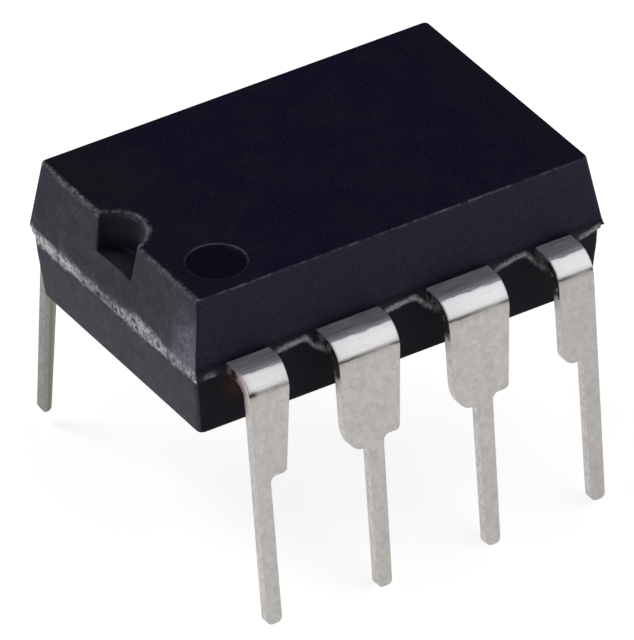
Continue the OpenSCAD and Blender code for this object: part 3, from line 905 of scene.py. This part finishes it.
def inset(points, e):
    """The outline moved inward by e"""
    n = len(points)
    area = sum(points[i][0] * points[(i + 1) % n][1] - points[(i + 1) % n][0] * points[i][1] for i in range(n))
    way = 1 if area > 0 else -1
    moved = []
    for i in range(n):
        a, b, c = points[i - 1], points[i], points[(i + 1) % n]
        d1 = Vector((b[0] - a[0], b[1] - a[1])).normalized()
        d2 = Vector((c[0] - b[0], c[1] - b[1])).normalized()
        n1, n2 = Vector((-d1.y, d1.x)) * way, Vector((-d2.y, d2.x)) * way
        m = n1 + n2
        m = m / max(0.3, m.dot(n1))
        moved.append((b[0] + m.x * e, b[1] + m.y * e))
    return moved


def clean(points):
    out = [points[0]]
    for p in points[1:]:
        if math.hypot(p[0] - out[-1][0], p[1] - out[-1][1]) > 1e-4:
            out.append(p)
    return out


def build_lead(i, mat):
    outline, hole, lean, turn, (left_x, right_x) = lead_outline(i)
    outline = clean(outline)
    # depth under the outer face and how far the outline is drawn in there
    layers = [(0.0, 0.024), (0.004, 0.011), (0.012, 0.003), (0.026, 0.0), (0.224, 0.0), (0.242, 0.004), (0.25, 0.014)]
    bm = bmesh.new()
    loops = [outline] + ([hole] if hole else [])
    caps = []
    for points in loops:
        sign = 1 if points is outline else -1
        rows = []
        for t, e in layers:
            rows.append([bm.verts.new((x, y, -t)) for x, y in inset(points, e * sign)])
        n = len(points)
        for upper, lower in zip(rows, rows[1:]):
            for j in range(n):
                bm.faces.new((upper[j], lower[j], lower[(j + 1) % n], upper[(j + 1) % n]))
        caps.append((rows[0], rows[-1]))
    for which in (0, 1):
        rims = [c[which] for c in caps]
        flat = [v for r in rims for v in r]
        for tri in tessellate_polygon([[v.co for v in r] for r in rims]):
            try:
                bm.faces.new([flat[j] for j in tri])
            except ValueError:
                pass
    bmesh.ops.recalc_face_normals(bm, faces=bm.faces)
    cuts = [-0.30, -0.15] + [turn * j / 22 for j in range(23)]
    cuts += [turn + 0.12 * j for j in range(1, 44)]
    for c in cuts:
        geom = bm.verts[:] + bm.edges[:] + bm.faces[:]
        bmesh.ops.bisect_plane(bm, geom=geom, dist=1e-6, plane_co=(0, c, 0), plane_no=(0, 1, 0))
    # map of the flat strip, for streaks and zones
    layer = bm.loops.layers.uv.new("strip")
    for f in bm.faces:
        for loop in f.loops:
            loop[layer].uv = (loop.vert.co.x, loop.vert.co.y)
    marks = []
    a = math.radians(90 - lean)
    axis_z = FRAME_Z + SHEET / 2 - BEND_R
    for v in bm.verts:
        u, s, t = v.co.x, v.co.y, -v.co.z
        half = (right_x - left_x) / 2
        edge = min(1.0, abs(u - (left_x + right_x) / 2) / half)
        side = 1.0 if 0.02 < t < 0.235 else 0.0
        marks += [smooth(0.55, 1.0, edge), side, t / SHEET, 1.0]
        # faint hand-formed waviness of the blade
        if s > turn + 0.2:
            t += 0.0035 * fbm(u * 0.9 + i * 3.1, s * 0.8, i * 1.7, 2) * smooth(turn + 0.2, turn + 1.2, s)
        t = max(0.0005, min(SHEET - 0.0005, t)) if s > turn + 0.2 else t
        r = BEND_R - t
        if s <= 0:
            y, z = -BEND_Y - s, axis_z + r
        elif s <= turn:
            phi = s / BEND_R
            y, z = -BEND_Y - r * math.sin(phi), axis_z + r * math.cos(phi)
        else:
            d = s - turn
            y = -BEND_Y - r * math.sin(a) - d * math.cos(a)
            z = axis_z + r * math.cos(a) - d * math.sin(a)
        x = u
        if i > 4:
            x, y = -x, -y
        v.co = (x * MM, y * MM, z * MM)
    bmesh.ops.recalc_face_normals(bm, faces=bm.faces)
    obj = make(f"formed_lead_{i}", bm, mat)
    attribute = obj.data.color_attributes.new("marks", "FLOAT_COLOR", "POINT")
    attribute.data.foreach_set("color", marks)
    rounded(obj, 55)
    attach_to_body(obj, "root")
    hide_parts(f"lead_{i}")
    return obj


# ------------------------------------------------------------------- camera
def place_camera():
    az, el, roll = math.radians(31.061), math.radians(34.252), math.radians(-1.717)
    d = Vector((-math.sin(az) * math.cos(el), -math.cos(az) * math.cos(el), math.sin(el)))
    right = (-d).cross(Vector((0, 0, 1))).normalized()
    up = right.cross(-d)
    r2 = right * math.cos(roll) + up * math.sin(roll)
    u2 = up * math.cos(roll) - right * math.sin(roll)
    place = d * 250 + r2 * 0.02 + u2 * -1.821 + Vector((0, 0, FRAME_Z))
    data = bpy.data.cameras.new("camera")
    data.sensor_width = 36
    data.lens = 12494.59 * 36 / 640
    data.clip_start, data.clip_end = 0.02, 5
    cam = bpy.data.objects.new("camera", data)
    cam.matrix_world = Matrix.Translation(place * MM) @ Matrix((r2, u2, d)).transposed().to_4x4()
    bpy.context.scene.collection.objects.link(cam)
    bpy.context.scene.camera = cam


def softbox(name, place, aim, size_x, size_y, power, colour=(1, 1, 1), spread=180):
    data = bpy.data.lights.new(name, "AREA")
    data.shape, data.size, data.size_y = "RECTANGLE", size_x, size_y
    data.energy, data.color = power, colour
    data.spread = math.radians(spread)
    obj = bpy.data.objects.new(name, data)
    obj.location = place
    obj.rotation_euler = (Vector(aim) - Vector(place)).to_track_quat("-Z", "Y").to_euler()
    bpy.context.scene.collection.objects.link(obj)
    return obj


def stage():
    bm = bmesh.new()
    bmesh.ops.create_grid(bm, x_segments=4, y_segments=4, size=3.0)
    for v in bm.verts:
        v.co.z = cad_lo.z
    floor = make("floor", bm, floor_look())
    world = bpy.data.worlds.new("studio")
    world.use_nodes = True
    back = world.node_tree.nodes["Background"]
    back.inputs["Color"].default_value = (0.9, 0.92, 1.0, 1)
    back.inputs["Strength"].default_value = 0.035
    bpy.context.scene.world = world
    # large softbox in front and overhead: the bright band on the bends
    front = softbox("front_box", (0.17, -0.14, 0.219), (0, 0, 0), 0.35, 0.503, 1.0)
    front.rotation_euler = (math.radians(32.5), 0, 0)
    front.data.energy = 0.62
    # soft light from behind on the left: shadows fall to the lower right
    softbox("back_box", (-0.16, 0.20, 0.34), (0, 0, 0), 0.16, 0.16, 0.55)
    # low light from the left for the end face
    softbox("left_box", (-0.42, 0.05, 0.10), (0, 0, 0.002), 0.22, 0.16, 0.30)


# -------------------------------------------------------------------- scene
place_camera()
stage()
build_body()
for number in range(1, 9):
    build_lead(number, tin_look(f"plated_lead_{number}", number))

copper, attach, silicon, gold = copper_look(), attach_look(), silicon_look(), gold_look()
for node, obj in frame["nodes"].items():
    look = None
    if node == "die_paddle":
        look = copper
    elif node == "die_attach":
        look = attach
    elif node == "silicon_die":
        look = silicon
    elif node.startswith("bond_wire"):
        look = gold
    if look:
        obj.data.materials.clear()
        obj.data.materials.append(look)

view = bpy.context.scene.view_settings
view.view_transform = "Standard"
view.look = "None"
